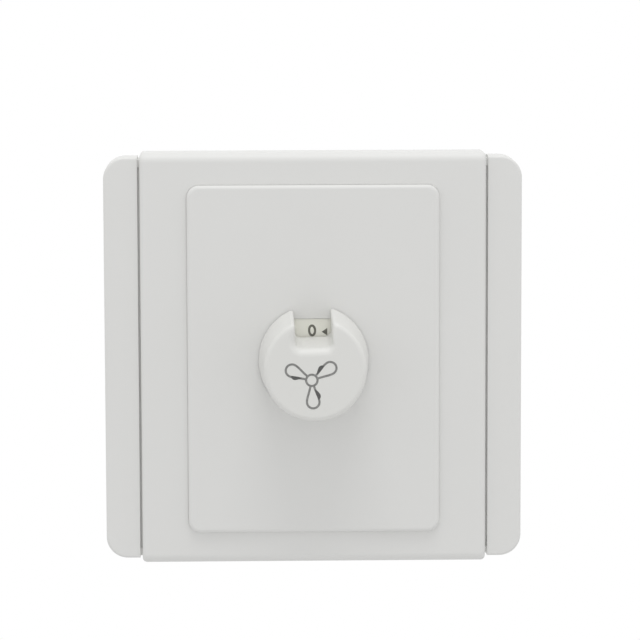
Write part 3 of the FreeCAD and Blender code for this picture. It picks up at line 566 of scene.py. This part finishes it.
sign_pieces = (
    printed_piece("fan_sign", sign_lines, sign_place, line_ink, beside=sign_shades),
    printed_piece("fan_sign_shades", sign_shades, sign_place, shade_ink),
)
for sign_piece in sign_pieces:
    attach(sign_piece, "rotor")

# Table top: a pale round board well below the switch, with a dull painted face.
# It only catches the shadow and sends a little light up under the plate.
table_pale = (0.74, 0.74, 0.74)
table_height = -0.20
table_radius = 0.45
table_shape = bmesh.new()
bmesh.ops.create_circle(table_shape, cap_ends=True, segments=96, radius=table_radius)
table_mesh = bpy.data.meshes.new("table_top")
table_shape.to_mesh(table_mesh)
table_shape.free()
pale_paint = moulded_plastic(
    "pale_table", table_pale,
    mottle=0.01, roughness=(0.7, 0.8), texture_mm=3.0, texture_depth_mm=0.01,
)
table_mesh.materials.append(pale_paint)
table = put_in_scene("table_top", table_mesh)
table.location = (0.0, 0.0, table_height)

# Room and lamp: an even white room, a little brighter overhead, that looks plain white where it is seen.
# One wide lamp hangs above the front, as in a small studio.
light_below = 0.775
light_above = 0.800
lamp_watts = 4.3
lamp_width = 0.60
lamp_place = (0.03, -0.36, 1.20)
white = (1.0, 1.0, 1.0, 1.0)
room = bpy.data.worlds.new("white_room")
bpy.context.scene.world = room
room.use_nodes = True
room_tree = room.node_tree
room_tree.nodes.clear()
room_output = room_tree.nodes.new("ShaderNodeOutputWorld")
room_seen = room_tree.nodes.new("ShaderNodeBackground")
room_seen.inputs["Color"].default_value = white
room_light = room_tree.nodes.new("ShaderNodeBackground")
room_light.inputs["Color"].default_value = white
room_place = room_tree.nodes.new("ShaderNodeTexCoord")
room_split = room_tree.nodes.new("ShaderNodeSeparateXYZ")
room_tree.links.new(room_place.outputs["Generated"], room_split.inputs["Vector"])
overhead = room_tree.nodes.new("ShaderNodeMapRange")
overhead.inputs["From Min"].default_value = -1.0
overhead.inputs["To Min"].default_value = light_below
overhead.inputs["To Max"].default_value = light_above
room_tree.links.new(room_split.outputs["Z"], overhead.inputs["Value"])
room_tree.links.new(overhead.outputs["Result"], room_light.inputs["Strength"])
ray = room_tree.nodes.new("ShaderNodeLightPath")
seen = ray.outputs["Is Camera Ray"]
for kind in ("Is Glossy Ray", "Is Transmission Ray"):
    either = room_tree.nodes.new("ShaderNodeMath")
    either.operation = "MAXIMUM"
    room_tree.links.new(seen, either.inputs[0])
    room_tree.links.new(ray.outputs[kind], either.inputs[1])
    seen = either.outputs["Value"]
room_choice = room_tree.nodes.new("ShaderNodeMixShader")
room_tree.links.new(seen, room_choice.inputs["Fac"])
room_tree.links.new(room_light.outputs["Background"], room_choice.inputs[1])
room_tree.links.new(room_seen.outputs["Background"], room_choice.inputs[2])
room_tree.links.new(room_choice.outputs["Shader"], room_output.inputs["Surface"])
lamp_data = bpy.data.lights.new("wide_lamp", "AREA")
lamp_data.energy = lamp_watts
lamp_data.size = lamp_width
lamp = put_in_scene("wide_lamp", lamp_data)
lamp.location = lamp_place
lamp.rotation_euler = (-lamp.location).to_track_quat("-Z", "Y").to_euler()

# Camera: a long lens that looks at the plate from a little above and to the left.
# It aims slightly up and to the right of the plate's middle, and leans a touch.
lens_mm = 189.6
sensor_mm = 36.0
camera_distance = 0.711
camera_azimuth = math.radians(-1.19)
camera_elevation = math.radians(7.43)
camera_lean = math.radians(-0.17)
aim_right = 0.00158
aim_up = 0.00711
camera_data = bpy.data.cameras.new("camera")
camera_data.sensor_width = sensor_mm
camera_data.lens = lens_mm
camera_data.clip_start = 0.01
camera = put_in_scene("camera", camera_data)
outward = Vector((
    math.sin(camera_azimuth) * math.cos(camera_elevation),
    -math.cos(camera_azimuth) * math.cos(camera_elevation),
    math.sin(camera_elevation),
))
to_right = Vector((math.cos(camera_azimuth), math.sin(camera_azimuth), 0.0))
upward = outward.cross(to_right)
camera.location = outward * camera_distance
aim = to_right * aim_right + upward * aim_up
straight = (aim - camera.location).to_track_quat("-Z", "Y").to_matrix()
camera.rotation_euler = (straight @ Matrix.Rotation(camera_lean, 3, "Z")).to_euler()
bpy.context.scene.camera = camera
bpy.context.scene.view_settings.view_transform = "Standard"
